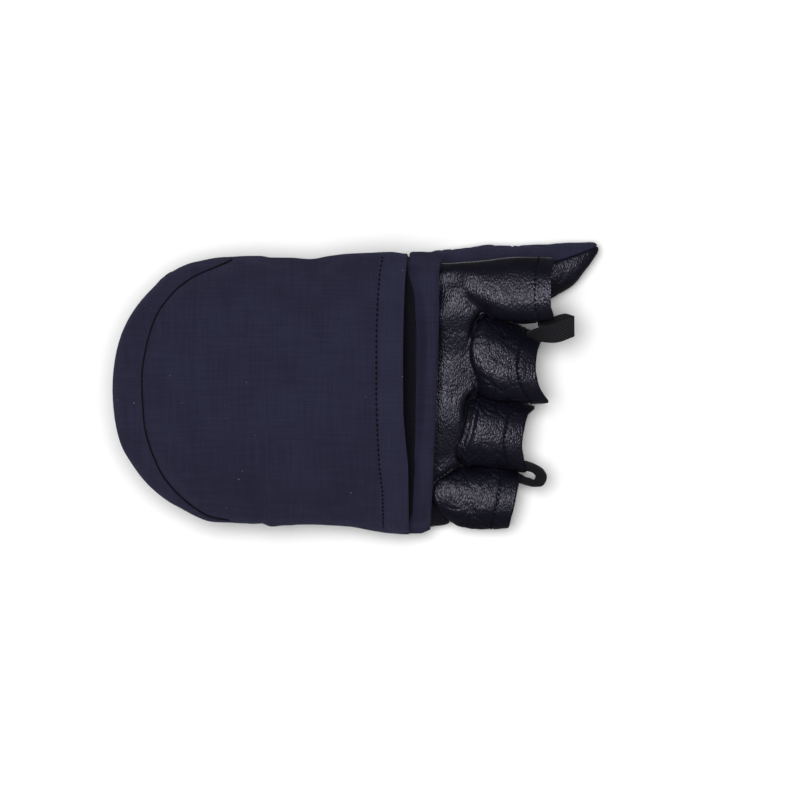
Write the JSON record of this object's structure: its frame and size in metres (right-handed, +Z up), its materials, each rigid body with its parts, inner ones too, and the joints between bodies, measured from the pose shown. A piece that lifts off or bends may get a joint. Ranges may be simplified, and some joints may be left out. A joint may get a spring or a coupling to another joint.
{
  "type": "convertible mountaineering mitten",
  "caption": "Right-hand mountaineering mitten: padded softshell cap folded back over the hand, leather glove with open finger stalls, closed thumb and small tape pull loops.",
  "frame": {"origin": "middle of the bounding box's base, on the surface that the mitten lies on, palm down", "axes": "+X towards the fingertips, +Y towards the thumb's side, +Z up out of the back of the hand"},
  "size_m": [0.1799, 0.108, 0.055],
  "materials": {
    "softshell": "matt navy-black softshell, fine plain weave",
    "leather": "black pebble-grain goat leather, soft sheen",
    "tape": "black woven tape",
    "binding": "matt dark binding"
  },
  "bodies": {
    "root": {"back_shell": "softshell", "knuckle_leather": "leather", "palm_leather": "leather", "wrist_cuff": "binding", "thumb_back": "softshell", "thumb_leather": "leather", "middle_stall": "leather", "ring_stall": "leather", "little_stall": "leather", "index_loop": "tape", "little_loop": "tape", "cap_fold": "softshell", "cap_back": "softshell", "cap_face": "softshell", "cap_hem": "softshell"}
  },
  "joints": []
}
